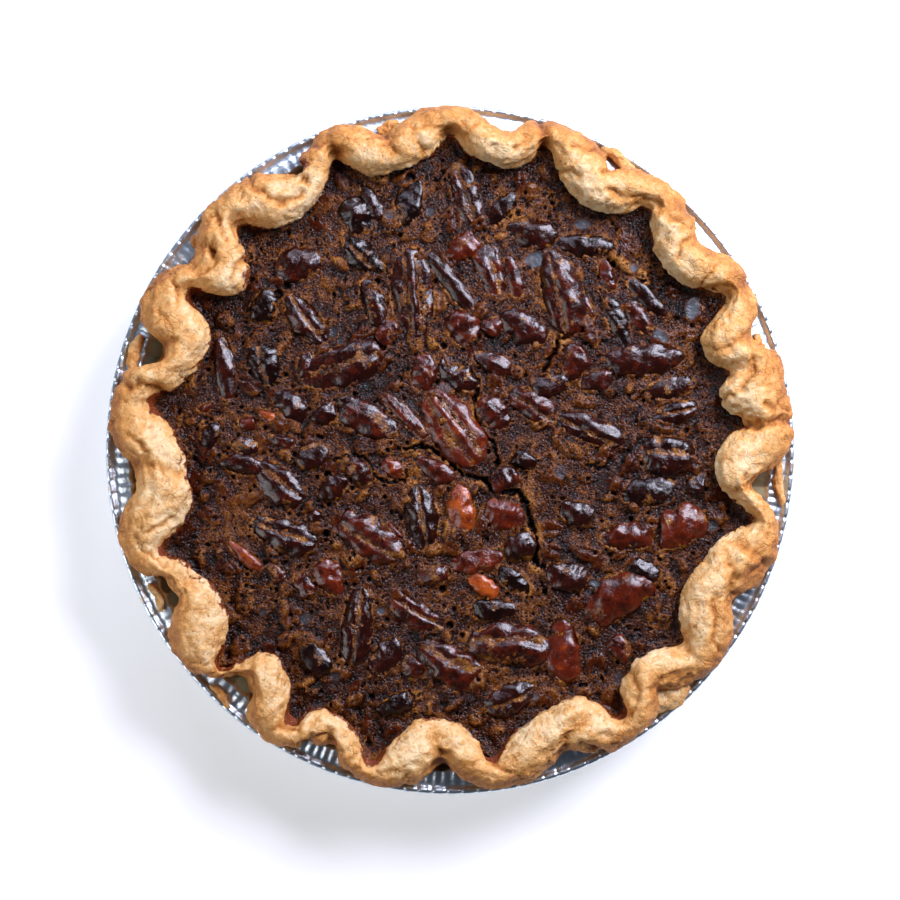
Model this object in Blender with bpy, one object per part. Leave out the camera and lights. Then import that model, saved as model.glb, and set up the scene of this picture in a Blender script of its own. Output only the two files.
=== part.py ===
"""A baked pecan pie in its disposable foil tin.

Pieces: the foil tin, the fluted pastry crust that lines it, the set custard filling that
follows the flutes, and the pecan halves that lie half sunk in the filling.
Metres, +Z up. The origin is the middle of the tin's flat underside.
"""

import math

import bmesh
import bpy
from mathutils import Euler, Matrix, Vector

MM = 0.001
GAP = 0.3 * MM  # clearance left between pieces that touch
SIDE_GAP = 0.6 * MM  # radial clearance where facets of two pieces face each other

# Foil tin: a nine inch pie tin with a flat flange and a rolled bead
FOIL = 0.5 * MM
TIN_FLOOR_RADIUS = 88.0 * MM
TIN_MOUTH_RADIUS = 106.5 * MM
TIN_FLANGE_RADIUS = 112.2 * MM
TIN_RIM_RADIUS = 114.5 * MM
TIN_DEPTH = 28.0 * MM
TIN_STEPS = 44

# Pastry crust: a lining as thick as rolled dough, with its edge pinched into flutes
DOUGH = 4.2 * MM
STEPS_BETWEEN = 3  # stations from a lobe to the next bay
LOBE_CREST = 40.0 * MM
BAY_CREST = 37.6 * MM
CRUST_EDGE_RADIUS = 113.3 * MM
FLUTE_ROUNDNESS = 0.8  # below 1 the flutes are broad with sharp pinches between them

# Custard filling: set level at the crust, a little domed in the middle
FILLING_EDGE_HEIGHT = 28.4 * MM
FILLING_DOME = 2.2 * MM
FILLING_RADIUS = 100.0 * MM
SWELL = 0.35 * MM  # gentle unevenness of the baked surface
DOME_RING = 58.0 * MM
DOME_SPOKES = 18

# The pinched edge, one row for each flute, counter-clockwise from +X:
# lobe angle, its inner radius; notch angle, its outer radius; next bay's angle, its inner radius
FLUTES = (
    (-3.3, 87.6, -6.0, 99.0, 5.4, 95.4),
    (11.5, 90.3, 12.0, 112.0, 15.5, 94.4),
    (21.0, 89.9, 20.0, 105.0, 29.0, 103.0),
    (40.5, 93.0, 39.5, 106.5, 50.5, 102.3),
    (60.0, 92.4, 60.0, 108.0, 71.9, 103.0),
    (79.1, 95.2, 80.5, 105.9, 90.0, 102.0),
    (102.9, 93.9, 101.5, 105.6, 111.8, 102.3),
    (123.2, 91.4, 120.0, 104.4, 133.4, 100.5),
    (141.8, 87.0, 143.3, 104.7, 149.0, 99.5),
    (156.8, 86.5, 161.5, 101.0, 171.0, 98.2),
    (187.3, 86.2, 185.2, 99.4, 199.5, 98.7),
    (213.0, 90.0, 207.0, 98.5, 223.0, 102.6),
    (230.4, 89.5, 228.6, 100.0, 239.6, 102.6),
    (244.3, 94.4, 246.5, 103.5, 255.6, 104.8),
    (267.4, 89.0, 269.0, 103.0, 278.0, 101.0),
    (294.6, 91.3, 291.5, 103.7, 302.8, 103.5),
    (310.7, 93.6, 311.0, 105.0, 320.0, 99.0),
    (331.4, 89.9, 332.2, 104.7, 347.0, 101.6),
)

# Pecan halves: where each lies (x, y, heading), its length and width, and its roll
PECAN_THICKNESS = 0.62  # of its width
PECAN_SINK = 0.10  # how far its middle lies under the surface, of its thickness
PECAN_GROOVE = 0.80  # radius in the two long grooves, of the smooth oval's
PECAN_TAPER = 0.8
PECAN_LONG = 18.0 * MM  # longer ones have one more section
POCKET_TOP = 50.0 * MM
PECANS = (
    (-12.5, 51.5, 96, 29.0, 15.0, 12),
    (0.8, 55.0, -52, 26.0, 8.0, 40),
    (5.0, 85.0, 107, 21.0, 9.0, 0),
    (13.2, 60.0, 107, 20.0, 8.5, 0),
    (36.5, 52.0, 103, 29.0, 12.5, 10),
    (45.0, 68.0, -4, 20.0, 7.5, -20),
    (27.0, 72.5, -14, 16.0, 8.5, 0),
    (-13.5, 82.0, 72, 15.0, 8.0, 0),
    (-28.0, 64.0, -42, 17.0, 9.0, 25),
    (-50.5, 62.0, 10, 15.0, 10.0, 0),
    (-47.5, 43.0, -54, 20.0, 9.0, 0),
    (-25.5, 48.5, 108, 17.0, 7.5, 10),
    (-36.0, 28.0, 18, 28.0, 13.0, 0),
    (-74.5, 27.0, 95, 21.0, 7.0, 0),
    (-61.0, 28.5, 100, 14.0, 9.0, 0),
    (-57.0, -11.0, -38, 20.0, 10.5, 0),
    (-27.0, 9.5, -28, 21.0, 10.5, 0),
    (-14.8, 11.3, -45, 20.0, 4.5, 0),
    (1.5, 7.5, -56, 28.0, 15.0, 0),
    (14.5, 12.3, -40, 13.0, 8.5, 0),
    (3.0, 25.5, -42, 15.0, 8.0, 0),
    (4.6, 39.8, -48, 13.0, 9.5, 0),
    (24.5, 41.0, -30, 16.0, 9.0, 0),
    (27.0, 14.5, -32, 18.0, 9.0, 20),
    (46.0, 7.0, -22, 25.0, 9.5, 20),
    (64.5, 29.8, 5, 25.0, 10.0, 0),
    (73.0, 20.4, 12, 16.0, 6.5, 0),
    (74.0, 12.8, 12, 16.0, 6.5, 0),
    (72.5, -1.5, -8, 17.0, 12.0, 0),
    (66.0, -14.5, 5, 18.0, 8.5, 0),
    (76.0, -26.0, 30, 19.0, 11.5, 0),
    (58.0, -29.0, -3, 18.0, 8.0, -15),
    (65.5, 50.5, -45, 17.0, 5.5, 0),
    (55.5, 42.5, 112, 17.0, 6.0, 0),
    (-9.0, -22.0, 98, 22.0, 10.5, 25),
    (3.7, -19.0, 92, 16.0, 8.0, 0),
    (18.0, -21.5, -15, 13.0, 9.0, 0),
    (-26.0, -29.0, -33, 23.0, 12.0, 0),
    (9.0, -36.5, 8, 17.0, 7.0, 0),
    (38.5, -41.5, -15, 14.0, 9.0, 0),
    (21.0, -43.5, -40, 13.0, 7.0, 25),
    (-10.5, -54.5, -28, 20.0, 8.0, 0),
    (-31.0, -58.0, 83, 26.0, 10.0, 0),
    (19.2, -65.8, -8, 26.0, 13.5, 0),
    (0.5, -70.5, -30, 22.0, 12.0, 0),
    (-21.5, -68.5, 48, 14.0, 8.0, 0),
    (37.5, -66.0, 96, 21.0, 11.0, 0),
    (20.0, -82.0, 25, 17.0, 8.5, 0),
    (56.0, -48.5, 38, 24.0, 13.0, 0),
    (-55.0, -28.0, -20, 22.0, 10.5, 0),
    (-30.5, 77.0, -55, 14.0, 8.5, 0),
    (63.2, 43.4, -52, 13.0, 6.0, 0),
    (-9.0, 26.0, 80, 12.0, 8.0, 0),
    (-53.0, 14.5, -40, 13.0, 7.0, 0),
    (17.0, 80.0, 50, 13.0, 6.0, 0),
    (21.0, 57.5, 105, 14.0, 5.0, 0),
    (-40.0, -42.5, -50, 12.0, 8.5, 0),
)


def clear_scene():
    for old in list(bpy.data.objects):
        bpy.data.objects.remove(old)


def material(name, color, roughness, metallic=0.0):
    made = bpy.data.materials.new(name)
    made.use_nodes = True
    shader = made.node_tree.nodes["Principled BSDF"]
    shader.inputs["Base Color"].default_value = (*color, 1.0)
    shader.inputs["Roughness"].default_value = roughness
    shader.inputs["Metallic"].default_value = metallic
    return made


def add_object(name, bm, finish):
    mesh = bpy.data.meshes.new(name)
    bm.to_mesh(mesh)
    bm.free()
    mesh.materials.append(finish)
    made = bpy.data.objects.new(name, mesh)
    bpy.context.collection.objects.link(made)
    return made


def smooth(made, degrees):
    made.data.shade_smooth()
    made.data.set_sharp_from_angle(angle=math.radians(degrees))


def polar(radius, angle, height):
    return Vector((radius * math.cos(angle), radius * math.sin(angle), height))


def mix(a, b, share):
    return a + (b - a) * share


def loft(rings, capped_top=True):
    """Each ring joined to the next, with the first and, if asked, the last capped. Each quad is
    split along its shorter diagonal, so that two pieces that face each other split alike."""
    bm = bmesh.new()
    loops = [[bm.verts.new(point) for point in ring] for ring in rings]
    count = len(loops[0])
    for lower, upper in zip(loops, loops[1:]):
        for i in range(count):
            a, b, c, d = lower[i], lower[(i + 1) % count], upper[(i + 1) % count], upper[i]
            if (a.co - c.co).length < (b.co - d.co).length:
                bm.faces.new((a, b, c))
                bm.faces.new((a, c, d))
            else:
                bm.faces.new((a, b, d))
                bm.faces.new((b, c, d))
    bm.faces.new(list(reversed(loops[0])))
    if capped_top:
        bm.faces.new(loops[-1])
    return bm


def build_tin(finish):
    """The foil's outline, from the bead round the flange and down the wall, turned about +Z."""
    bead = (TIN_RIM_RADIUS - FOIL / 2 - TIN_FLANGE_RADIUS)
    top = TIN_DEPTH + FOIL / 2
    outline = [
        (TIN_FLANGE_RADIUS + bead * math.sin(turn), top - bead * (1 - math.cos(turn)))
        for turn in (math.pi * step / 4 for step in range(4, -1, -1))
    ]
    outline += [
        (TIN_MOUTH_RADIUS, top),
        (mix(TIN_FLOOR_RADIUS, TIN_MOUTH_RADIUS, 0.05), mix(FOIL / 2, top, 0.05)),
        (TIN_FLOOR_RADIUS - FOIL, FOIL / 2),
        (0.0, FOIL / 2),
    ]
    bm = bmesh.new()
    points = [bm.verts.new((radius, 0.0, height)) for radius, height in outline]
    for a, b in zip(points, points[1:]):
        bm.edges.new((a, b))
    tin = add_object("foil_tin", bm, finish)
    turned = tin.modifiers.new("turn", "SCREW")
    turned.steps = TIN_STEPS
    turned.render_steps = TIN_STEPS
    turned.use_merge_vertices = True
    turned.merge_threshold = 0.0001
    turned.use_normal_calculate = True
    foil = tin.modifiers.new("foil", "SOLIDIFY")
    foil.thickness = FOIL
    foil.offset = 0.0
    foil.use_even_offset = True
    return tin


def tin_wall_radius(height):
    """Radius that keeps clear of the inside of the tin's sloping wall at this height."""
    return mix(TIN_FLOOR_RADIUS, TIN_MOUTH_RADIUS, height / TIN_DEPTH) - FOIL - SIDE_GAP


def between(keys, angle):
    """The two keys either side of the angle, and how far the angle has come, from 0 to 1."""
    turn = 2 * math.pi
    for (a, low), (b, high) in zip(keys, keys[1:] + keys[:1]):
        span = (b - a) % turn
        share = ((angle - a) % turn) / span
        if share < 1:
            return low, high, share
    return keys[0][1], keys[0][1], 0.0


def ease(share, pinched_at_start):
    """Leaves a broad end slowly and reaches a pinched end sharply."""
    if pinched_at_start:
        return math.sin(math.pi / 2 * share) ** FLUTE_ROUNDNESS
    return 1 - math.cos(math.pi / 2 * share) ** FLUTE_ROUNDNESS


def inner_edge(angle):
    """Inner radius of the pinched edge, and 1 at a lobe's tip to 0 in a bay."""
    keys = []
    for lobe_at, lobe, _, _, bay_at, bay in FLUTES:
        keys.append((math.radians(lobe_at), (lobe, 1.0)))
        keys.append((math.radians(bay_at), (bay, 0.0)))
    (start, lobe), (end, _), share = between(keys, angle)
    share = ease(share, pinched_at_start=lobe == 0.0)
    return mix(start, end, share) * MM, mix(lobe, 1 - lobe, share)


def outer_edge(angle):
    """Outer radius of the pinched edge: full between two notches, and short at each notch."""
    notches = sorted((math.radians(row[2]), row[3] * MM) for row in FLUTES)
    start, end, share = between(notches, angle)
    if share < 0.5:
        return mix(start, CRUST_EDGE_RADIUS, ease(2 * share, pinched_at_start=True))
    return mix(end, CRUST_EDGE_RADIUS, ease(2 - 2 * share, pinched_at_start=True))


def crust_section(angle):
    """The crust's cut face at this angle: from under the base, up the tin's wall, over the
    pinched edge and down its inner face to the floor, as (radius, height) pairs."""
    inner, lobe = inner_edge(angle)
    outer = outer_edge(angle)
    width = outer - inner
    crest = mix(BAY_CREST, LOBE_CREST, lobe) + 0.4 * MM * math.sin(5 * angle)
    floor = FOIL + GAP
    flange = TIN_DEPTH + FOIL + 2 * GAP
    wall_top = 0.94 * TIN_DEPTH
    throat = TIN_MOUTH_RADIUS - 1.4 * MM
    rise = crest - flange
    return [
        (TIN_FLOOR_RADIUS - 2 * SIDE_GAP, floor),
        (min(tin_wall_radius(wall_top), outer - 0.4 * MM), wall_top),
        (min(throat, outer - 0.3 * MM), flange),
        (outer - 0.8 * MM * (1 - lobe), flange + 0.07 * rise),
        (outer, flange + 0.36 * rise),
        (outer - 0.20 * width, flange + 0.82 * rise),
        (mix(inner, outer, mix(0.55, 0.50, lobe)), crest),
        (inner + mix(0.30, 0.18, lobe) * width, flange + mix(0.72, 0.84, lobe) * rise),
        (inner + mix(0.9 * MM, 0.0, lobe), flange + 0.36 * rise),
        (inner + mix(0.0, 1.4 * MM, lobe), FILLING_EDGE_HEIGHT),
        (mix(95.4, 93.0, lobe) * MM, 0.58 * TIN_DEPTH),
        (TIN_FLOOR_RADIUS - DOUGH - 1.8 * MM, floor + DOUGH),
    ]


FILLING_SECTION = slice(-3, None)  # the crust's inner points that the filling lies against


def station_angles():
    """One station at each lobe and each bay, with STEPS_BETWEEN between them."""
    ends = []
    for lobe_at, _, _, _, bay_at, _ in FLUTES:
        ends += [math.radians(lobe_at), math.radians(bay_at)]
    angles = []
    for start, end in zip(ends, ends[1:] + [ends[0] + 2 * math.pi]):
        angles += [mix(start, end, step / STEPS_BETWEEN) for step in range(STEPS_BETWEEN)]
    return angles


def build_crust(finish):
    sections = [crust_section(angle) for angle in station_angles()]
    rings = []
    for level in range(len(sections[0])):
        rings.append([
            polar(*section[level][:1], angle, section[level][1])
            for section, angle in zip(sections, station_angles())
        ])
    crust = add_object("pastry_crust", loft(rings), finish)
    smooth(crust, 50)
    return crust


def filling_height(x, y):
    """Top of the filling: domed, with a gentle unevenness."""
    reach = math.hypot(x, y) / FILLING_RADIUS
    dome = FILLING_DOME * max(0.0, 1 - reach * reach)
    wave = math.sin(x / (11 * MM)) * math.cos(y / (9 * MM) + 1.3)
    return FILLING_EDGE_HEIGHT + dome + SWELL * wave * (1 - min(1.0, reach))


def build_filling(finish):
    angles = station_angles()
    sides = [list(reversed(crust_section(a)[FILLING_SECTION])) for a in angles]
    rings = []
    for level in range(len(sides[0])):
        lift = GAP if level == 0 else 0.0
        rings.append([
            polar(side[level][0] - SIDE_GAP, angle, side[level][1] + lift)
            for side, angle in zip(sides, angles)
        ])
    bm = loft(rings, capped_top=False)
    dome(bm, [edge for edge in bm.edges if edge.is_boundary])
    filling = add_object("custard_filling", bm, finish)
    smooth(filling, 40)
    return filling


def dome(bm, brim_edges):
    """Closes the top: a fan from the brim in to a ring of DOME_SPOKES, then to the middle."""
    brim = sorted({vert for edge in brim_edges for vert in edge.verts}, key=angle_of)
    ring = []
    for spoke in range(DOME_SPOKES):
        point = polar(DOME_RING, 2 * math.pi * spoke / DOME_SPOKES, 0.0)
        ring.append(bm.verts.new((point.x, point.y, filling_height(point.x, point.y))))
    middle = bm.verts.new((0.0, 0.0, filling_height(0.0, 0.0)))
    per_spoke = 2 * math.pi / DOME_SPOKES
    for a, b in zip(brim, brim[1:] + brim[:1]):
        start = round(angle_of(a) / per_spoke) % DOME_SPOKES
        end = round(angle_of(b) / per_spoke) % DOME_SPOKES
        bm.faces.new((a, b, ring[start]))
        if start != end:
            bm.faces.new((ring[start], b, ring[end]))
    for a, b in zip(ring, ring[1:] + ring[:1]):
        bm.faces.new((middle, a, b))


def angle_of(vert):
    return math.atan2(vert.co.y, vert.co.x) % (2 * math.pi)


def pecan_mesh(length, width, swell=0.0):
    """One pecan half along X: an oval, blunt at its ends, flat below, with two long grooves."""
    bm = bmesh.new()
    sections = 5 if length > PECAN_LONG else 4
    bmesh.ops.create_uvsphere(bm, u_segments=8, v_segments=sections, radius=1.0)
    thickness = PECAN_THICKNESS * width
    for vert in bm.verts:
        along, around = vert.co.z, Vector((vert.co.x, vert.co.y))
        reach = around.length
        if reach > 0:
            turn = math.atan2(around.y, around.x)
            groove = abs(math.sin(2 * turn)) if around.y > 0 else 0.0
            radius = reach ** PECAN_TAPER * mix(1.0, PECAN_GROOVE, groove)
            side = radius * math.cos(turn) * (width / 2 + swell)
            top = radius * math.sin(turn) * (0.55 * thickness + swell)
        else:
            side, top = 0.0, 0.0
        floor = -0.40 * thickness - swell
        vert.co = Vector((along * (length / 2 + swell), side, max(top, floor)))
    bmesh.ops.triangulate(bm, faces=bm.faces, quad_method="FIXED")
    bm.normal_update()
    return bm


def pecan_place(x, y, heading, width, roll):
    surface = filling_height(x, y)
    sink = PECAN_SINK * PECAN_THICKNESS * width
    turn = Euler((math.radians(roll), 0.0, math.radians(heading))).to_matrix().to_4x4()
    return Matrix.Translation((x, y, surface - sink)) @ turn


def pocket_mesh(pecan):
    """The pecan's outline from above, straight down to just under it and up past the surface."""
    low = min(vert.co.z for vert in pecan.verts)
    outline = bmesh.new()
    for vert in pecan.verts:
        for height in (low, POCKET_TOP):
            outline.verts.new((vert.co.x, vert.co.y, height))
    pecan.free()
    hull = bmesh.ops.convex_hull(outline, input=outline.verts)
    inner = [item for item in hull["geom_interior"] if isinstance(item, bmesh.types.BMVert)]
    bmesh.ops.delete(outline, geom=inner, context="VERTS")
    bmesh.ops.dissolve_limit(
        outline, angle_limit=math.radians(1), verts=outline.verts, edges=outline.edges
    )
    outline.normal_update()
    return outline


def build_pecans(finish, pockets):
    """The pecan halves, and for each the straight-sided pocket it sits in."""
    for number, (x, y, heading, length, width, roll) in enumerate(PECANS, 1):
        placed = pecan_place(x * MM, y * MM, heading, width * MM, roll)
        pecan = pecan_mesh(length * MM, width * MM)
        pecan.transform(placed)
        smooth(add_object(f"pecan_half_{number:02d}", pecan, finish), 60)
        swollen = pecan_mesh(length * MM, width * MM, 1.4 * GAP)
        swollen.transform(placed)
        cutter = add_object(f"pocket_{number:02d}", pocket_mesh(swollen), finish)
        cutter.hide_render = True
        cutter.display_type = "WIRE"
        bpy.context.collection.objects.unlink(cutter)
        pockets.objects.link(cutter)


def main():
    clear_scene()
    foil = material("aluminium_foil", (0.82, 0.83, 0.85), 0.32, 1.0)
    pastry = material("baked_pastry", (0.72, 0.42, 0.17), 0.62)
    custard = material("caramel_custard", (0.14, 0.055, 0.018), 0.28)
    nut = material("glazed_pecan", (0.16, 0.036, 0.012), 0.25)

    build_tin(foil)
    build_crust(pastry)
    filling = build_filling(custard)
    pockets = bpy.data.collections.new("pockets")
    bpy.context.scene.collection.children.link(pockets)
    build_pecans(nut, pockets)

    cut = filling.modifiers.new("pecan_pockets", "BOOLEAN")
    cut.operation = "DIFFERENCE"
    cut.solver = "EXACT"
    cut.operand_type = "COLLECTION"
    cut.collection = pockets


main()
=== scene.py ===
import math
import random

import bpy
import numpy as np
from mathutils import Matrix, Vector, noise


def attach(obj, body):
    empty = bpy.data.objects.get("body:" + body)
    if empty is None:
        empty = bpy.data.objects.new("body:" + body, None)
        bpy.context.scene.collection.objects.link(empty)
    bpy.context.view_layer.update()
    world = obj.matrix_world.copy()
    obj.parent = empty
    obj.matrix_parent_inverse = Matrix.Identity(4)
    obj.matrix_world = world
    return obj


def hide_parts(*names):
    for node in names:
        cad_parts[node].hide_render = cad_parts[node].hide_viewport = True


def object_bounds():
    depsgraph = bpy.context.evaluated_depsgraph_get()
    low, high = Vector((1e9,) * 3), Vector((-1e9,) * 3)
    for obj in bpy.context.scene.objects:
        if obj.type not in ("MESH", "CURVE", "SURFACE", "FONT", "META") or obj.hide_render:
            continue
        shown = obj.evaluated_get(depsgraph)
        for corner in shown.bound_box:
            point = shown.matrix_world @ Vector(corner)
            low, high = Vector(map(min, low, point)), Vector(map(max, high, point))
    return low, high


mm = 0.001

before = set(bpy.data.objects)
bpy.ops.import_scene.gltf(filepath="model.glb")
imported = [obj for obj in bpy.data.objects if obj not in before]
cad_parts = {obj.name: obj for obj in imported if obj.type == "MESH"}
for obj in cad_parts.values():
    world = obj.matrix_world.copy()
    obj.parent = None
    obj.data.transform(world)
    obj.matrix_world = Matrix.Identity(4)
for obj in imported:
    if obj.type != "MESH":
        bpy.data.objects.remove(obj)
cadLow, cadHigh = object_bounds()
scene = bpy.context.scene
print("frame loaded")


def selectOnly(piece):
    bpy.ops.object.select_all(action="DESELECT")
    piece.select_set(True)
    bpy.context.view_layer.objects.active = piece


def nameActive(name):
    piece = bpy.context.object
    piece.name = name
    piece.data.name = name
    return piece


def applyModifier(piece, name, kind, **settings):
    selectOnly(piece)
    modifier = piece.modifiers.new(name, kind)
    for setting, value in settings.items():
        setattr(modifier, setting, value)
    bpy.ops.object.modifier_apply(modifier=name)


def editAll(piece, select="SELECT"):
    selectOnly(piece)
    bpy.ops.object.mode_set(mode="EDIT")
    bpy.ops.mesh.select_mode(type="VERT")
    bpy.ops.mesh.select_all(action=select)


def extrudeRing(rise, *scale):
    # the selected ring is copied up or down and then scaled about the axis
    bpy.ops.mesh.extrude_region_move(TRANSFORM_OT_translate={"value": (0, 0, rise)})
    bpy.ops.transform.resize(value=scale, center_override=(0, 0, 0))


def leaveEdit():
    bpy.ops.object.mode_set(mode="OBJECT")


def readPoints(piece):
    points = np.empty(len(piece.data.vertices) * 3)
    piece.data.vertices.foreach_get("co", points)
    return points.reshape(-1, 3)


def readNormals(piece):
    normals = np.empty(len(piece.data.vertices) * 3)
    piece.data.vertices.foreach_get("normal", normals)
    return normals.reshape(-1, 3)


def writePoints(piece, points):
    piece.data.vertices.foreach_set("co", points.astype(np.float32).ravel())
    piece.data.update()


def writeAttribute(piece, name, values):
    layer = piece.data.attributes.new(name, "FLOAT", "POINT")
    layer.data.foreach_set("value", np.clip(values, 0, 1).astype(np.float32))


def smoothedPoints(piece, *passes):
    # where a copy's points lie after each run of smoothing passes
    softened = piece.copy()
    softened.data = piece.data.copy()
    scene.collection.objects.link(softened)
    found = []
    for count in passes:
        applyModifier(softened, "soften", "SMOOTH", factor=0.5, iterations=count)
        found.append(readPoints(softened))
    bpy.data.objects.remove(softened)
    return found


def smoothStep(values, low, high):
    share = np.clip((values - low) / (high - low), 0, 1)
    return share * share * (3 - 2 * share)


def noiseAt(points, size, seed=0):
    # smooth noise from -1 to 1 whose lumps are about this size
    shift = Vector((seed * 7.13, seed * 3.71, seed * 5.37))
    scaled = points / size
    return np.array([noise.noise(Vector(p) + shift) for p in scaled.tolist()])


def roughNoise(points, size, octaves, seed=0):
    total = np.zeros(len(points))
    for octave in range(octaves):
        total += noiseAt(points, size / 2**octave, seed + 11 * octave) / 2**octave
    return total


def distanceToRun(x, y, run):
    nearest = np.full(len(x), 1e9)
    for (ax, ay), (bx, by) in zip(run, run[1:]):
        dx, dy = bx - ax, by - ay
        share = np.clip(((x - ax) * dx + (y - ay) * dy) / (dx * dx + dy * dy), 0, 1)
        nearest = np.minimum(nearest, np.hypot(x - ax - share * dx, y - ay - share * dy))
    return nearest


def copyOfNode(node, name):
    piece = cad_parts[node].copy()
    piece.data = piece.data.copy()
    for key in list(piece.keys()):
        del piece[key]
    piece.parent = None
    piece.name = name
    piece.data.name = name
    piece.data.materials.clear()
    scene.collection.objects.link(piece)
    editAll(piece)
    bpy.ops.mesh.remove_doubles(threshold=0.00002)
    leaveEdit()
    return piece


def joinPieces(pieces, name):
    bpy.ops.object.select_all(action="DESELECT")
    for piece in pieces:
        piece.select_set(True)
    bpy.context.view_layer.objects.active = pieces[0]
    bpy.ops.object.join()
    return nameActive(name)


def finishPiece(piece, material, nodes=()):
    piece.data.materials.clear()
    piece.data.materials.append(material)
    selectOnly(piece)
    bpy.ops.object.shade_smooth()
    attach(piece, "root")
    if nodes:
        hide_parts(*nodes)


def linear(hexColour):
    channels = [int(hexColour[i : i + 2], 16) / 255 for i in (1, 3, 5)]
    curved = [c / 12.92 if c <= 0.04045 else ((c + 0.055) / 1.055) ** 2.4 for c in channels]
    return (*curved, 1.0)


def newMaterial(name):
    material = bpy.data.materials.new(name)
    material.use_nodes = True
    tree = material.node_tree
    return material, tree, tree.nodes["Principled BSDF"]


def addNode(tree, kind, inputs=None, out=0, **settings):
    # inputs: socket name or number to a value or to another node's output
    node = tree.nodes.new("ShaderNode" + kind)
    for setting, value in settings.items():
        setattr(node, setting, value)
    for socket, value in (inputs or {}).items():
        if isinstance(value, bpy.types.NodeSocket):
            tree.links.new(value, node.inputs[socket])
        else:
            node.inputs[socket].default_value = value
    return node.outputs[out]


def setRamp(ramp, *stops):
    elements = ramp.node.color_ramp.elements
    while len(elements) < len(stops):
        elements.new(0.5)
    for element, (place, colour) in zip(elements, stops):
        element.position = place
        element.color = linear(colour) if isinstance(colour, str) else (colour,) * 3 + (1.0,)
    return ramp


def setShader(tree, shader, **values):
    for name, value in values.items():
        socket = shader.inputs[name.replace("_", " ")]
        if isinstance(value, bpy.types.NodeSocket):
            tree.links.new(value, socket)
        else:
            socket.default_value = value


# camera, lights and floor
view = {
    "lens": 100.0,
    "sensor": 36.0,
    "frameWidth": 0.2987,  # across the picture, at the tin's rim
    "rimHeight": 0.0285,
}
distance = view["frameWidth"] * view["lens"] / view["sensor"]
bpy.ops.object.camera_add(location=(0, 0, view["rimHeight"] + distance), rotation=(0, 0, 0))
camera = bpy.context.object
camera.data.lens = view["lens"]
camera.data.sensor_width = view["sensor"]
camera.data.clip_start = 0.05
camera.data.clip_end = 20
scene.camera = camera

lights = {
    # name: place, size across and up, power, colour
    "windowRight": ((0.39, 0.39, 0.51), (0.40, 0.38), 10.7, "#EAEAFF"),
    "windowTop": ((-0.20, 0.62, 0.46), (0.34, 0.2), 2.0, "#DDE3FF"),
    "cardLeft": ((-0.60, -0.25, 0.40), (0.40, 0.40), 2.2, "#F2F0F4"),
}
for name, (place, size, power, colour) in lights.items():
    bpy.ops.object.light_add(type="AREA", location=place)
    lamp = bpy.context.object
    lamp.name = name
    lamp.data.shape = "RECTANGLE"
    lamp.data.size, lamp.data.size_y = size
    lamp.data.energy = power
    lamp.data.color = linear(colour)[:3]
    lamp.rotation_mode = "QUATERNION"
    lamp.rotation_quaternion = (-Vector(place)).to_track_quat("-Z", "Y")

world = scene.world or bpy.data.worlds.new("room")
scene.world = world
world.use_nodes = True
worldNodes = world.node_tree.nodes
worldNodes["Background"].inputs["Color"].default_value = linear("#C9D6EE")
worldNodes["Background"].inputs["Strength"].default_value = 0.06
scene.view_settings.view_transform = "Standard"

floorMaterial, floorTree, floorShader = newMaterial("paleTable")
setShader(
    floorTree, floorShader, Base_Color=linear("#F8F8F8"), Roughness=0.8,
    Emission_Color=linear("#FFFFFF"), Emission_Strength=0.35,  # keeps the table near white
)
bpy.ops.mesh.primitive_plane_add(size=6, location=(0, 0, -0.0002))
floor = nameActive("tableTop")
floor.data.materials.append(floorMaterial)
print("stage set")


# shortcrust pastry: rolled dough, pinched by hand and baked: matte, grainy, patchy gold
crustLook = {
    "cream": "#F4D4A0",
    "straw": "#E6B16C",
    "gold": "#D08D40",
    "brown": "#A66428",
    "dark": "#6B3814",
    "creaseShade": "#8E4E1C",
    "caramel": "#7A3513",  # syrup that boiled over and dried
}


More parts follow.
